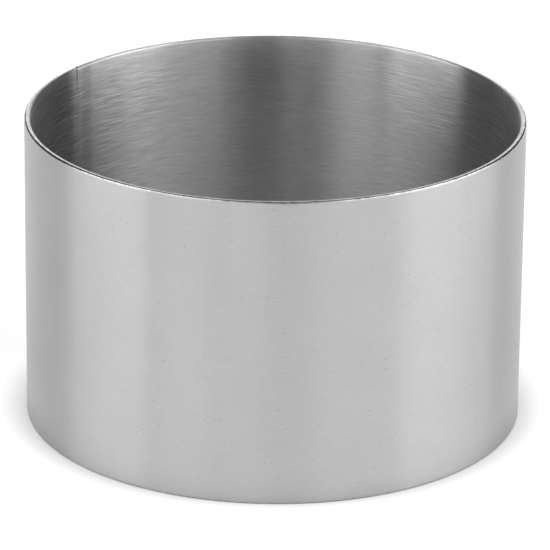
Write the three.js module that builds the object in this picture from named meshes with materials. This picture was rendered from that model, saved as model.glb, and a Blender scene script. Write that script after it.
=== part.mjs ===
// A plain round food ring: one strip of stainless steel sheet, rolled into a hoop and closed by one
// upright butt weld that is ground flush with the wall. Both rims have rounded edges.
// Lengths are in millimetres. +Z runs up the ring's axis, the origin is at the middle of the lower
// rim, and the ring's front faces -Y.
import * as THREE from 'three';
import { mergeVertices } from 'three/addons/utils/BufferGeometryUtils.js';

// Driving dimensions
const OUTER_DIAMETER = 80;
const HEIGHT = 50;
const WALL = 0.9;
const RIM_LAND = 0.2; // flat left on a rim between its two rounded edges
const WELD_WIDTH = 1.2; // measured along the outside of the wall
const WELD_TURN_DEGREES = 236; // from the front to the weld, anticlockwise seen from above

// Fineness of the surfaces
const BAND_STEPS = 144;
const WELD_STEPS = 2;
const EDGE_DIVISIONS = 2; // a rounded edge gets twice as many flats as this

// Finish
const SHEET_COLOUR = 0xc9c9c9;
const SHEET_ROUGHNESS = 0.4;
const WELD_COLOUR = 0xb8b8b8;
const WELD_ROUGHNESS = 0.5;

// Derived sizes
const outerRadius = OUTER_DIAMETER / 2;
const innerRadius = outerRadius - WALL;
const edgeRadius = (WALL - RIM_LAND) / 2;

// Angles of the weld's two sides, from the front
const fullTurn = 2 * Math.PI;
const weldMiddle = THREE.MathUtils.degToRad(WELD_TURN_DEGREES);
const weldHalfTurn = WELD_WIDTH / outerRadius / 2;
const weldStart = weldMiddle - weldHalfTurn;
const weldEnd = weldMiddle + weldHalfTurn;

// Points round the wall's cross-section, with radius across and height up. The last one repeats the
// first, so the outline closes on itself.
function wallOutline() {
  const quarter = Math.PI / 2;
  const innerCentre = innerRadius + edgeRadius;
  const outerCentre = outerRadius - edgeRadius;
  const lowCentre = edgeRadius;
  const highCentre = HEIGHT - edgeRadius;
  const outline = new THREE.Path();
  outline.absarc(innerCentre, lowCentre, edgeRadius, 2 * quarter, 3 * quarter);
  outline.absarc(outerCentre, lowCentre, edgeRadius, 3 * quarter, 4 * quarter);
  outline.absarc(outerCentre, highCentre, edgeRadius, 0, quarter);
  outline.absarc(innerCentre, highCentre, edgeRadius, quarter, 2 * quarter);
  outline.closePath();
  return outline.getPoints(EDGE_DIVISIONS);
}

// The wall swept round the axis from one angle to another, with a flat face at each end.
function sweptWall(startAngle, endAngle, steps) {
  const outline = wallOutline();
  const skin = new THREE.LatheGeometry(outline, steps, startAngle, endAngle - startAngle);
  const faces = Array.from(skin.getIndex().array);
  const lastOutline = steps * outline.length;
  for (const [a, b, c] of THREE.ShapeUtils.triangulateShape(outline.slice(0, -1), [])) {
    faces.push(a, b, c);
    faces.push(lastOutline + a, lastOutline + c, lastOutline + b);
  }
  const wall = new THREE.BufferGeometry();
  wall.setAttribute('position', skin.getAttribute('position'));
  wall.setIndex(faces);
  const closed = mergeVertices(wall);
  closed.rotateX(Math.PI / 2);
  closed.computeVertexNormals();
  return closed;
}

function steel(color, roughness) {
  return new THREE.MeshStandardMaterial({ color, roughness, metalness: 1 });
}

// The rolled strip: it runs from one side of the weld all the way round to the other.
function ringBand() {
  const shape = sweptWall(weldEnd, weldStart + fullTurn, BAND_STEPS);
  const band = new THREE.Mesh(shape, steel(SHEET_COLOUR, SHEET_ROUGHNESS));
  band.name = 'ring_band';
  return band;
}

// The weld bead: it fills the gap between the strip's ends over the full height.
function weldSeam() {
  const shape = sweptWall(weldStart, weldEnd, WELD_STEPS);
  const weld = new THREE.Mesh(shape, steel(WELD_COLOUR, WELD_ROUGHNESS));
  weld.name = 'weld_seam';
  return weld;
}

const foodRing = new THREE.Group();
foodRing.name = 'food_ring';
foodRing.add(ringBand(), weldSeam());

export default foodRing;
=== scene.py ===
import math
from typing import NamedTuple

import bmesh
import bpy
from mathutils import Matrix, Vector


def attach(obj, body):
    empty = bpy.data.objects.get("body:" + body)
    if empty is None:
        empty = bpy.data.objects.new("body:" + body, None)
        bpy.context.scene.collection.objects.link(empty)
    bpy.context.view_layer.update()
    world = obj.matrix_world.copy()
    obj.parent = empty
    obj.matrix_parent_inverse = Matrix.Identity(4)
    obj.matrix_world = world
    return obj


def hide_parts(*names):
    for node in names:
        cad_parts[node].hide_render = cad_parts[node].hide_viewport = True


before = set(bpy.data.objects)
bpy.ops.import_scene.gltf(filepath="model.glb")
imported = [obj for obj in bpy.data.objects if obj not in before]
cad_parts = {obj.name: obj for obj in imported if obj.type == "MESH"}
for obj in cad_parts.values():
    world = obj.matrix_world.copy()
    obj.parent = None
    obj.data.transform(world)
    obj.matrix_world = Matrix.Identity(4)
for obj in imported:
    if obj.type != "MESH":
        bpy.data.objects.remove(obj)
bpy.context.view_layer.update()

# Sizes that follow the frame, in metres
BAND = "ring_band"
WELD = "weld_seam"
ROUNDING = 1e-6


def node_points(node):
    return [Vector(v.co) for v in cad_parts[node].data.vertices]


def radius_of(point):
    return math.hypot(point.x, point.y)


band_points = node_points(BAND)
weld_points = node_points(WELD)
HEIGHT = max(p.z for p in band_points)
OUTER_RADIUS = max(radius_of(p) for p in band_points)
INNER_RADIUS = min(radius_of(p) for p in band_points)
MIDDLE_RADIUS = (OUTER_RADIUS + INNER_RADIUS) / 2
EDGE_RADIUS = OUTER_RADIUS - max(radius_of(p) for p in band_points if p.z > HEIGHT - ROUNDING)
weld_middle = sum(weld_points, Vector()) / len(weld_points)
WELD_ANGLE = math.atan2(weld_middle.y, weld_middle.x)


def angle_from_weld(point):
    turn = math.atan2(point.y, point.x) - WELD_ANGLE
    return (turn + math.pi) % (2 * math.pi) - math.pi


WELD_HALF_ANGLE = max(angle_from_weld(p) for p in weld_points)
CENTRE = Vector((0, 0, HEIGHT / 2))

# Fineness of the surfaces
BAND_STEPS = 480
WELD_STEPS = 20
EDGE_STEPS = 8
WALL_ROWS = 12
WALL_MARGIN = 0.0002

# The weld, which shrank into a notch in the middle of its width at each rim
NOTCH_DEPTH = 0.0001
NOTCH_SHARE = 0.7
NOTCH_FADE = 0.0004

# Noise that the steel's marks are made of
NOISE_DETAIL = 2.0
NOISE_LOW = 0.25
NOISE_HIGH = 0.75

WHITE = (1, 1, 1, 1)


class Nodes:
    """A node tree that is filled node by node."""

    def __init__(self, owner):
        owner.use_nodes = True
        self.tree = owner.node_tree
        self.tree.nodes.clear()

    def add(self, kind, inputs=None, **settings):
        node = self.tree.nodes.new(kind)
        for name, value in settings.items():
            setattr(node, name, value)
        for socket, value in (inputs or {}).items():
            if isinstance(value, bpy.types.NodeSocket):
                self.tree.links.new(value, node.inputs[socket])
            else:
                node.inputs[socket].default_value = value
        return node

    def math(self, operation, first, second=0.0):
        return self.add("ShaderNodeMath", {0: first, 1: second}, operation=operation).outputs[0]

    def remap(self, value, low, high, to_low, to_high):
        inputs = {"Value": value, "From Min": low, "From Max": high, "To Min": to_low, "To Max": to_high}
        return self.add("ShaderNodeMapRange", inputs).outputs["Result"]

    def product(self, first, *others):
        for other in others:
            first = self.math("MULTIPLY", first, other)
        return first

    def distance(self, first, second):
        return self.math("ABSOLUTE", self.math("SUBTRACT", first, second))

    def along(self, vector, direction):
        node = self.add("ShaderNodeVectorMath", {0: vector, 1: direction}, operation="DOT_PRODUCT")
        return node.outputs["Value"]

    def grey(self, value):
        return self.add("ShaderNodeCombineColor", {0: value, 1: value, 2: value}).outputs["Color"]

    def noise(self, vector, scale=1.0):
        inputs = {"Vector": vector, "Scale": scale, "Detail": NOISE_DETAIL}
        return self.add("ShaderNodeTexNoise", inputs).outputs["Fac"]


# Marks in the steel, with sizes in metres
class Marks(NamedTuple):
    """Lines that run round the ring, and the share by which they stray from 1."""
    length: float
    width: float
    strays: float


class Relief(NamedTuple):
    """Ridges that run round the ring, and their depth."""
    length: float
    width: float
    depth: float


class Sway(NamedTuple):
    """How far lines stray up and down, and how far they run between two turns."""
    lift: float
    spacing: float


class Strip(NamedTuple):
    """An upright strip at or beside the weld: where its middle is, how far from there it is at its full
    shade, how far from there it has faded, and its shade."""
    from_weld: float
    half_width: float
    faded_by: float
    shade: float


def lines(nodes, place, marks):
    """Noise drawn out into lines that run round the ring."""
    scale = (1 / marks.length, 1 / marks.length, 1 / marks.width)
    return nodes.noise(nodes.add("ShaderNodeMapping", {"Vector": place, "Scale": scale}).outputs["Vector"])


def brushed(nodes, place, marks):
    """A factor that strays from 1 as the lines do."""
    noise = lines(nodes, place, marks)
    return nodes.remap(noise, NOISE_LOW, NOISE_HIGH, 1 - marks.strays, 1 + marks.strays)


def faded(nodes, factor, mask):
    """The factor itself where the mask is 1, and no change where the mask is 0."""
    change = nodes.product(nodes.math("SUBTRACT", factor, 1.0), mask)
    return nodes.math("ADD", change, 1.0)


def swayed(nodes, place, sway):
    """Places shifted up and down by a slow noise, so that lines drawn there cross at slight angles."""
    shift = nodes.remap(nodes.noise(place, 1 / sway.spacing), 0.0, 1.0, -sway.lift, sway.lift)
    lift = nodes.add("ShaderNodeCombineXYZ", {"Z": shift}).outputs["Vector"]
    return nodes.add("ShaderNodeVectorMath", {0: place, 1: lift}, operation="ADD").outputs["Vector"]


def near_weld(nodes, place, line, full, gone):
    """1 as far as `full` from an upright line beside the weld, falling to 0 at `gone`."""
    across = nodes.along(place, (-math.sin(WELD_ANGLE), math.cos(WELD_ANGLE), 0))
    outward = nodes.along(place, (math.cos(WELD_ANGLE), math.sin(WELD_ANGLE), 0))
    near = nodes.remap(nodes.distance(across, line), full, gone, 1.0, 0.0)
    return nodes.product(near, nodes.math("GREATER_THAN", outward, 0.0))


def shaded(nodes, place, strip):
    """A factor that darkens a strip at or beside the weld to the strip's shade."""
    near = near_weld(nodes, place, strip.from_weld, strip.half_width, strip.faded_by)
    return nodes.remap(near, 0.0, 1.0, 1.0, strip.shade)


# Steel, whose gloss is drawn out across its grain by a quarter turn
QUARTER_TURN = 0.25


class Finish(NamedTuple):
    """How rough the steel is, how that strays, how far its gloss is drawn out, and its relief."""
    roughness: float
    rough_marks: Marks
    anisotropy: float
    relief: Relief


def steel(name, colour, finish):
    """Steel of this finish, whose colour comes from a function of a node tree and a place."""
    material = bpy.data.materials.new(name)
    nodes = Nodes(material)
    place = nodes.add("ShaderNodeTexCoord").outputs["Object"]
    around = nodes.add("ShaderNodeTangent", direction_type="RADIAL", axis="Z").outputs["Tangent"]
    ridges = lines(nodes, place, finish.relief)
    bump = nodes.add("ShaderNodeBump", {"Distance": finish.relief.depth, "Height": ridges})
    shader = nodes.add("ShaderNodeBsdfPrincipled", {
        "Base Color": nodes.grey(colour(nodes, place)),
        "Metallic": 1.0,
        "Roughness": nodes.product(finish.roughness, brushed(nodes, place, finish.rough_marks)),
        "Anisotropic": finish.anisotropy,
        "Anisotropic Rotation": QUARTER_TURN,
        "Tangent": around,
        "Normal": bump.outputs["Normal"],
    })
    nodes.add("ShaderNodeOutputMaterial", {"Surface": shader.outputs["BSDF"]})
    return material


# The outside, which is satin steel with fine pits
OUTSIDE_COLOUR = 0.4
OUTSIDE_GRAIN = Marks(0.0011, 0.00012, 0.05)
OUTSIDE_LINES = Marks(0.012, 0.0003, 0.015)
OUTSIDE_SMUDGES = Marks(0.008, 0.008, 0.02)
OUTSIDE_STRIP = Strip(0.0, 0.001, 0.004, 0.93)
OUTSIDE_FINISH = Finish(
    roughness=0.34,
    rough_marks=Marks(0.010, 0.0003, 0.04),
    anisotropy=0.9,
    relief=Relief(0.004, 0.00015, 0.000001),
)
SPECK_SPACING = 0.0008
SPECK_RADIUS = 0.00004
SPECK_EDGE = 0.00012
SPECK_SHADE = 0.42
SPECK_RARITY = 2.5


def specks(nodes, place):
    """Fine pits strewn over the sheet: many faint ones, and a few deep ones."""
    cells = nodes.add("ShaderNodeTexVoronoi", {"Vector": place, "Scale": 1 / SPECK_SPACING})
    distance = nodes.math("MULTIPLY", cells.outputs["Distance"], SPECK_SPACING)
    pit = nodes.remap(distance, SPECK_RADIUS, SPECK_EDGE, 1.0, 0.0)
    chance = nodes.add("ShaderNodeSeparateColor", {"Color": cells.outputs["Color"]}).outputs["Red"]
    depth = nodes.math("POWER", chance, SPECK_RARITY)
    return nodes.remap(nodes.product(pit, depth), 0.0, 1.0, 1.0, SPECK_SHADE)


def outside_steel():
    def colour(nodes, place):
        grain = brushed(nodes, place, OUTSIDE_GRAIN)
        long_lines = brushed(nodes, place, OUTSIDE_LINES)
        smudges = brushed(nodes, place, OUTSIDE_SMUDGES)
        pits = specks(nodes, place)
        strip = shaded(nodes, place, OUTSIDE_STRIP)
        return nodes.product(OUTSIDE_COLOUR, grain, long_lines, smudges, pits, strip)

    return steel("satin_outside", colour, OUTSIDE_FINISH)


# The inside, which is brushed steel with strokes and scratches, with painted shade in strips on both sides of
# the weld
INSIDE_COLOUR = 0.5
INSIDE_GRAIN = Marks(0.0022, 0.0002, 0.11)
INSIDE_BANDS = Marks(0.007, 0.0008, 0.03)
INSIDE_STROKES = Marks(0.005, 0.00017, 0.36)
INSIDE_SCRATCHES = Marks(0.010, 0.0002, 0.65)
SCRATCHES_ABOVE = 0.6
SCRATCHES_FULL = 0.76
GRAIN_SWAY = Sway(0.0008, 0.012)
STROKE_SWAY = Sway(0.0009, 0.024)
# Painted shade: the steel in these strips, right and left of the weld, is darkened to stand in for the darker
# reflections where the sheet's ends meet the weld
RIGHT_PAINTED_SHADE_STRIP = Strip(-0.0022, 0.0007, 0.0018, 0.8)
LEFT_PAINTED_SHADE_STRIP = Strip(0.0115, 0.0092, 0.0110, 0.76)
INSIDE_FINISH = Finish(
    roughness=0.36,
    rough_marks=Marks(0.012, 0.0004, 0.06),
    anisotropy=1.0,
    relief=Relief(0.006, 0.00025, 0.0000015),
)

# Where the strokes are strong
SMOOTH_TO = 0.0137
COARSE_FROM = 0.0235
SMOOTH_SHARE = 0.3
NEAR_WELD_FULL = 0.003
NEAR_WELD_GONE = 0.022
NEAR_WELD_SHARE = 1.25
FAR_FROM_WELD_SHARE = 0.65
STROKED_BELOW_RIM = 0.0085
STROKED_FULL = 0.0035
STROKED_FADED = 0.008
UNSTROKED_SHARE = 0.6

# A painted highlight on the inside next to both rims: how far it reaches from each rim, and how much brighter
# it makes the steel
PAINTED_LIGHT_DEPTH = 0.002
PAINTED_LIGHT_GAIN = 1.18


def stroke_strength(nodes, place):
    """How strong the strokes are: most at the ring's sides, near the weld and below the upper rim."""
    sideways = nodes.math("ABSOLUTE", nodes.along(place, (1, 0, 0)))
    sides = nodes.remap(sideways, SMOOTH_TO, COARSE_FROM, SMOOTH_SHARE, 1.0)
    near = near_weld(nodes, place, 0.0, NEAR_WELD_FULL, NEAR_WELD_GONE)
    welding = nodes.remap(near, 0.0, 1.0, FAR_FROM_WELD_SHARE, NEAR_WELD_SHARE)
    from_band = nodes.distance(nodes.along(place, (0, 0, 1)), HEIGHT - STROKED_BELOW_RIM)
    band = nodes.remap(from_band, STROKED_FULL, STROKED_FADED, 1.0, UNSTROKED_SHARE)
    return nodes.product(sides, welding, band)


def inside_strokes(nodes, place):
    """Short strokes and a few long scratches that cross at slight angles."""
    crossing = swayed(nodes, place, STROKE_SWAY)
    strokes = brushed(nodes, crossing, INSIDE_STROKES)
    deepest = lines(nodes, crossing, INSIDE_SCRATCHES)
    scratches = nodes.remap(deepest, SCRATCHES_ABOVE, SCRATCHES_FULL, 1.0, 1 + INSIDE_SCRATCHES.strays)
    return faded(nodes, nodes.product(strokes, scratches), stroke_strength(nodes, place))


def painted_light_at_rims(nodes, place):
    """A painted highlight: the steel made brighter next to both rims, standing in for the extra light on the
    inside near the upper rim.
    """
    from_middle = nodes.distance(nodes.along(place, (0, 0, 1)), HEIGHT / 2)
    return nodes.remap(from_middle, HEIGHT / 2 - PAINTED_LIGHT_DEPTH, HEIGHT / 2, 1.0, PAINTED_LIGHT_GAIN)


def inside_steel():
    def colour(nodes, place):
        crossing = swayed(nodes, place, GRAIN_SWAY)
        grain = brushed(nodes, crossing, INSIDE_GRAIN)
        bands = brushed(nodes, crossing, INSIDE_BANDS)
        strokes = inside_strokes(nodes, place)
        rim_painted_light = painted_light_at_rims(nodes, place)
        painted_shade_strips = nodes.product(shaded(nodes, place, RIGHT_PAINTED_SHADE_STRIP), shaded(nodes, place, LEFT_PAINTED_SHADE_STRIP))
        return nodes.product(INSIDE_COLOUR, grain, bands, strokes, rim_painted_light, painted_shade_strips)

    return steel("brushed_inside", colour, INSIDE_FINISH)


# The rims, which are polished and flecked
RIM_COLOUR = 0.48
RIM_FLECKS = Marks(0.0009, 0.0009, 0.35)
RIM_FINISH = Finish(
    roughness=0.21,
    rough_marks=Marks(0.0006, 0.0006, 0.15),
    anisotropy=0.0,
    relief=Relief(0.0005, 0.0005, 0.00003),
)


def rim_steel():
    def colour(nodes, place):
        return nodes.product(RIM_COLOUR, brushed(nodes, place, RIM_FLECKS))

    return steel("polished_rim", colour, RIM_FINISH)


# The weld, which is ground flush and keeps a faint ripple
WELD_INSIDE_COLOUR = 0.46
WELD_OUTSIDE_COLOUR = 0.36
WELD_ROUGHNESS = 0.38
WELD_RIPPLES = Marks(0.0006, 0.0003, 0.05)
WELD_RELIEF = Relief(0.0008, 0.00025, 0.000002)
WELD_INSIDE_FINISH = Finish(WELD_ROUGHNESS, WELD_RIPPLES, INSIDE_FINISH.anisotropy, WELD_RELIEF)
WELD_OUTSIDE_FINISH = Finish(WELD_ROUGHNESS, WELD_RIPPLES, OUTSIDE_FINISH.anisotropy, WELD_RELIEF)


def weld_inside_steel():
    def colour(nodes, place):
        ripples = brushed(nodes, place, WELD_RIPPLES)
        return nodes.product(WELD_INSIDE_COLOUR, ripples, inside_strokes(nodes, place))

    return steel("ground_weld_inside", colour, WELD_INSIDE_FINISH)


def weld_outside_steel():
    def colour(nodes, place):
        ripples = brushed(nodes, place, WELD_RIPPLES)
        return nodes.product(WELD_OUTSIDE_COLOUR, ripples, brushed(nodes, place, OUTSIDE_GRAIN))

    return steel("ground_weld_outside", colour, WELD_OUTSIDE_FINISH)


# Parts of the wall's surface, and the ways that it faces, in quarter turns
OUTSIDE, RIM, INSIDE = "outside", "rim", "inside"
OUT, UP, IN, DOWN = range(4)


class WallPoint(NamedTuple):
    """A point of the wall's cross-section, and the part of the surface that starts there."""
    radius: float
    height: float
    part: str


def rounded_edge(radius, height, facing, parts, after):
    """A quarter of a circle that starts facing one way, with several parts of the surface spread over it."""
    points = []
    for step in range(EDGE_STEPS + 1):
        turn = (facing + step / EDGE_STEPS) * math.pi / 2
        part = parts[step * len(parts) // EDGE_STEPS] if step < EDGE_STEPS else after
        outward = EDGE_RADIUS * math.cos(turn)
        upward = EDGE_RADIUS * math.sin(turn)
        points.append(WallPoint(radius + outward, height + upward, part))
    return points


def straight_side(radius, start, end, part):
    """An upright side of the wall, which stops just short of the rounded edges."""
    inset = math.copysign(WALL_MARGIN, end - start)
    points = []
    for row in range(WALL_ROWS + 1):
        share = row / WALL_ROWS
        height = (start + inset) * (1 - share) + (end - inset) * share
        points.append(WallPoint(radius, height, part))
    return points


def wall_outline():
    """Points round the wall's cross-section."""
    inner_centre = INNER_RADIUS + EDGE_RADIUS
    outer_centre = OUTER_RADIUS - EDGE_RADIUS
    low = EDGE_RADIUS
    high = HEIGHT - EDGE_RADIUS
    return [
        *rounded_edge(inner_centre, low, IN, [INSIDE], RIM),
        *rounded_edge(outer_centre, low, DOWN, [RIM, RIM, RIM, OUTSIDE], OUTSIDE),
        *straight_side(OUTER_RADIUS, low, high, OUTSIDE),
        *rounded_edge(outer_centre, high, OUT, [OUTSIDE, RIM, RIM, RIM], RIM),
        *rounded_edge(inner_centre, high, UP, [INSIDE], INSIDE),
        *straight_side(INNER_RADIUS, high, low, INSIDE),
    ]


def notched(point, depth):
    """The radius and height of a point that a notch draws into the wall, by this depth at the rims."""
    rim_distance = min(point.height, HEIGHT - point.height)
    drawn = depth * math.exp(-rim_distance / NOTCH_FADE)
    radius = point.radius - math.copysign(drawn, point.radius - MIDDLE_RADIUS)
    height = point.height - math.copysign(drawn, point.height - HEIGHT / 2)
    return radius, height


def wall_column(mesh, outline, turn, notch):
    """The vertices of one cross-section of the wall."""
    column = []
    for point in outline:
        radius, height = notched(point, notch)
        column.append(mesh.verts.new((radius * math.cos(turn), radius * math.sin(turn), height)))
    return column


def join_columns(mesh, before, after, outline, parts):
    """The faces between two neighbouring cross-sections."""
    for index, point in enumerate(outline):
        following = (index + 1) % len(outline)
        face = mesh.faces.new((before[index], after[index], after[following], before[following]))
        face.material_index = parts.index(point.part)
        face.smooth = True


def close_end(mesh, column, parts):
    """A flat face with sharp edges over one end of the wall."""
    cap = mesh.faces.new(column)
    cap.material_index = parts.index(RIM)
    for edge in cap.edges:
        edge.smooth = False


def add_object(name, mesh, materials):
    data = bpy.data.meshes.new(name)
    mesh.to_mesh(data)
    mesh.free()
    for material in materials:
        data.materials.append(material)
    added = bpy.data.objects.new(name, data)
    bpy.context.scene.collection.objects.link(added)
    return added


def swept_wall(name, start, end, steps, materials, notch_depth):
    """The wall's cross-section swept round the axis, with closed ends and a notch in each rim."""
    mesh = bmesh.new()
    outline = wall_outline()
    parts = list(materials)
    columns = []
    for step in range(steps + 1):
        share = step / steps
        notch = notch_depth * max(0, 1 - abs(2 * share - 1) / NOTCH_SHARE)
        columns.append(wall_column(mesh, outline, start + (end - start) * share, notch))
    for before, after in zip(columns, columns[1:]):
        join_columns(mesh, before, after, outline, parts)
    close_end(mesh, columns[0], parts)
    close_end(mesh, list(reversed(columns[-1])), parts)
    bmesh.ops.recalc_face_normals(mesh, faces=mesh.faces)
    return add_object(name, mesh, materials.values())


def dress(piece, node):
    """Lets a piece stand for a node of the frame."""
    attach(piece, "root")
    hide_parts(node)


def make_band(rim):
    sheet = {OUTSIDE: outside_steel(), RIM: rim, INSIDE: inside_steel()}
    start = WELD_ANGLE + WELD_HALF_ANGLE
    end = WELD_ANGLE - WELD_HALF_ANGLE + 2 * math.pi
    dress(swept_wall("ring_band_surface", start, end, BAND_STEPS, sheet, 0.0), BAND)


def make_weld(rim):
    bead = {OUTSIDE: weld_outside_steel(), RIM: rim, INSIDE: weld_inside_steel()}
    start = WELD_ANGLE - WELD_HALF_ANGLE
    end = WELD_ANGLE + WELD_HALF_ANGLE
    dress(swept_wall("weld_seam_surface", start, end, WELD_STEPS, bead, NOTCH_DEPTH), WELD)


# The floor, which is white to the eye and keeps the ring's shadow
FLOOR_HALF_SIDE = 20.0
FLOOR_DROP = 0.00002
FLOOR_COLOUR = (0.4, 0.4, 0.4, 1)
FLOOR_GLOW = 0.75
FAR_FLOOR_GLOW = 1.0
NEAR_FLOOR = 0.3
FAR_FLOOR = 0.65
# Painted shadow: inside the ring the floor's glow falls to this share, and ambient occlusion over
# SHADOW_REACH darkens the glow beside the ring
ENCLOSED_SHARE = 0.15
SHADOW_REACH = 0.006

# A painted pool of light: the floor glows more in front of the ring
POOL_GLOW = 0.2
POOL_CENTRE = (0, -0.1, 0)
POOL_FULL = 0.05
POOL_EDGE = 0.13


def seen_directly(nodes):
    """1 for rays from the camera, a mirror or glass, else 0."""
    path = nodes.add("ShaderNodeLightPath")
    found = nodes.math("MAXIMUM", path.outputs["Is Camera Ray"], path.outputs["Is Glossy Ray"])
    return nodes.math("MAXIMUM", found, path.outputs["Is Transmission Ray"])


def floor_glow(nodes):
    """How strongly the floor glows: more far from the ring and in a painted pool of light, less beside and
    inside it as a painted shadow of the ring.
    """
    place = nodes.add("ShaderNodeTexCoord").outputs["Object"]
    radius = nodes.add("ShaderNodeVectorMath", {0: place}, operation="LENGTH").outputs["Value"]
    open_floor = nodes.remap(radius, NEAR_FLOOR, FAR_FLOOR, FLOOR_GLOW, FAR_FLOOR_GLOW)
    from_pool = nodes.add("ShaderNodeVectorMath", {0: place, 1: POOL_CENTRE}, operation="DISTANCE")
    pool = nodes.remap(from_pool.outputs["Value"], POOL_FULL, POOL_EDGE, POOL_GLOW, 0.0)
    around_ring = nodes.math("GREATER_THAN", radius, INNER_RADIUS)
    share = nodes.remap(around_ring, 0.0, 1.0, ENCLOSED_SHARE, 1.0)
    openness = nodes.add("ShaderNodeAmbientOcclusion", {"Distance": SHADOW_REACH}).outputs["AO"]
    return nodes.product(nodes.math("ADD", open_floor, pool), seen_directly(nodes), openness, share)


def make_floor():
    material = bpy.data.materials.new("pale_floor")
    nodes = Nodes(material)
    paint = nodes.add("ShaderNodeBsdfDiffuse", {"Color": FLOOR_COLOUR})
    glow = nodes.add("ShaderNodeEmission", {"Color": WHITE, "Strength": floor_glow(nodes)})
    both = nodes.add("ShaderNodeAddShader", {0: paint.outputs["BSDF"], 1: glow.outputs["Emission"]})
    nodes.add("ShaderNodeOutputMaterial", {"Surface": both.outputs["Shader"]})
    mesh = bmesh.new()
    bmesh.ops.create_grid(mesh, x_segments=1, y_segments=1, size=FLOOR_HALF_SIDE)
    floor = add_object("floor", mesh, [material])
    floor.location.z = -FLOOR_DROP


# The room, which is dim, with walls that are white close to the floor and a paler ceiling
ROOM_LIGHT = 0.048
WALL_WHITE_TO = math.radians(1.5)
WALL_FADED_BY = math.radians(4)
CEILING_LIGHT = 0.24
CEILING_FROM = math.radians(50)
CEILING_FULL = math.radians(68)


def make_room():
    world = bpy.data.worlds.new("studio")
    bpy.context.scene.world = world
    nodes = Nodes(world)
    rise = nodes.along(nodes.add("ShaderNodeTexCoord").outputs["Generated"], (0, 0, 1))
    wall = nodes.remap(rise, math.sin(WALL_WHITE_TO), math.sin(WALL_FADED_BY), 1.0, ROOM_LIGHT)
    ceiling = nodes.remap(rise, math.sin(CEILING_FROM), math.sin(CEILING_FULL), 0.0, CEILING_LIGHT)
    strength = nodes.math("ADD", wall, ceiling)
    background = nodes.add("ShaderNodeBackground", {"Color": WHITE, "Strength": strength})
    nodes.add("ShaderNodeOutputWorld", {"Surface": background.outputs["Background"]})


# Lights
LIGHT_DISTANCE = 0.7
CARD_DISTANCE = 0.38


class SoftBox(NamedTuple):
    """An upright soft box. Its angles are in degrees: its middle's azimuth, which grows from the front to the
    right, how far it reaches to each side of that, and its lowest and highest elevation."""
    name: str
    azimuth: float
    half_width: float
    low: float
    high: float
    brightness: float
    distance: float = LIGHT_DISTANCE


LIGHTS = [
    SoftBox("left_soft_box", -78, 22, 0, 62, 2.0),
    SoftBox("left_low_soft_box", -78, 22, 0, 14, 1.7),
    SoftBox("left_front_soft_box", -39.5, 12.5, 0, 62, 1.65),
    SoftBox("left_upper_soft_box", -44, 8, 14, 62, 0.4),
    SoftBox("left_inner_soft_box", -15.5, 11.5, 0, 62, 0.7),
    SoftBox("right_soft_box", 84.75, 27.75, 0, 62, 2.0),
    SoftBox("right_near_soft_box", 78.5, 12.5, 0, 62, 0.5),
    SoftBox("right_low_soft_box", 84.75, 27.75, 0, 10, 2.1),
    SoftBox("right_front_soft_box", 42, 15, 0, 62, 1.5),
    SoftBox("right_inner_soft_box", 21.5, 5.5, 0, 62, 0.6),
    SoftBox("front_upper_soft_box", 5, 12, 14, 62, 0.25),
    SoftBox("front_low_soft_box", 3, 25, 0, 6, 2.6),
    SoftBox("back_card", 180, 20, 0, 36, 1.2, CARD_DISTANCE),
]


def make_light(box):
    """An area lamp that the camera doesn't see, and whose brightness doesn't change with its size."""
    bottom = box.distance * math.tan(math.radians(box.low))
    top = box.distance * math.tan(math.radians(box.high))
    data = bpy.data.lights.new(box.name, "AREA")
    data.shape = "RECTANGLE"
    data.size = 2 * box.distance * math.tan(math.radians(box.half_width))
    data.size_y = top - bottom
    data.energy = math.pi * data.size * data.size_y * box.brightness
    azimuth = math.radians(box.azimuth)
    outward = Vector((math.sin(azimuth), -math.cos(azimuth), 0))
    lamp = bpy.data.objects.new(box.name, data)
    lamp.location = CENTRE + box.distance * outward + Vector((0, 0, (bottom + top) / 2))
    lamp.rotation_euler = outward.to_track_quat("Z", "Y").to_euler()
    lamp.visible_camera = False
    bpy.context.scene.collection.objects.link(lamp)


# Camera, which stands in front of the ring and looks down into it
CAMERA_ELEVATION = math.radians(21.27)
CAMERA_DISTANCE = 0.735
CAMERA_LENS = 298.3
CAMERA_ROLL = math.radians(0.62)
AIM_BELOW_CENTRE = 0.0023
AIM_RIGHT_OF_CENTRE = 0.0002


def make_camera():
    data = bpy.data.cameras.new("camera")
    data.lens = CAMERA_LENS
    camera = bpy.data.objects.new("camera", data)
    back = Vector((0, -math.cos(CAMERA_ELEVATION), math.sin(CAMERA_ELEVATION)))
    up = Vector((0, math.sin(CAMERA_ELEVATION), math.cos(CAMERA_ELEVATION)))
    camera.location = CENTRE + CAMERA_DISTANCE * back
    aim = CENTRE + Vector((AIM_RIGHT_OF_CENTRE, 0, 0)) - AIM_BELOW_CENTRE * up
    level = (aim - camera.location).to_track_quat("-Z", "Y").to_matrix()
    camera.rotation_euler = (level @ Matrix.Rotation(CAMERA_ROLL, 3, "Z")).to_euler()
    bpy.context.scene.collection.objects.link(camera)
    bpy.context.scene.camera = camera


polished_rim = rim_steel()
make_band(polished_rim)
make_weld(polished_rim)
make_floor()
make_room()
for light in LIGHTS:
    make_light(light)
make_camera()
bpy.context.scene.view_settings.view_transform = "Standard"
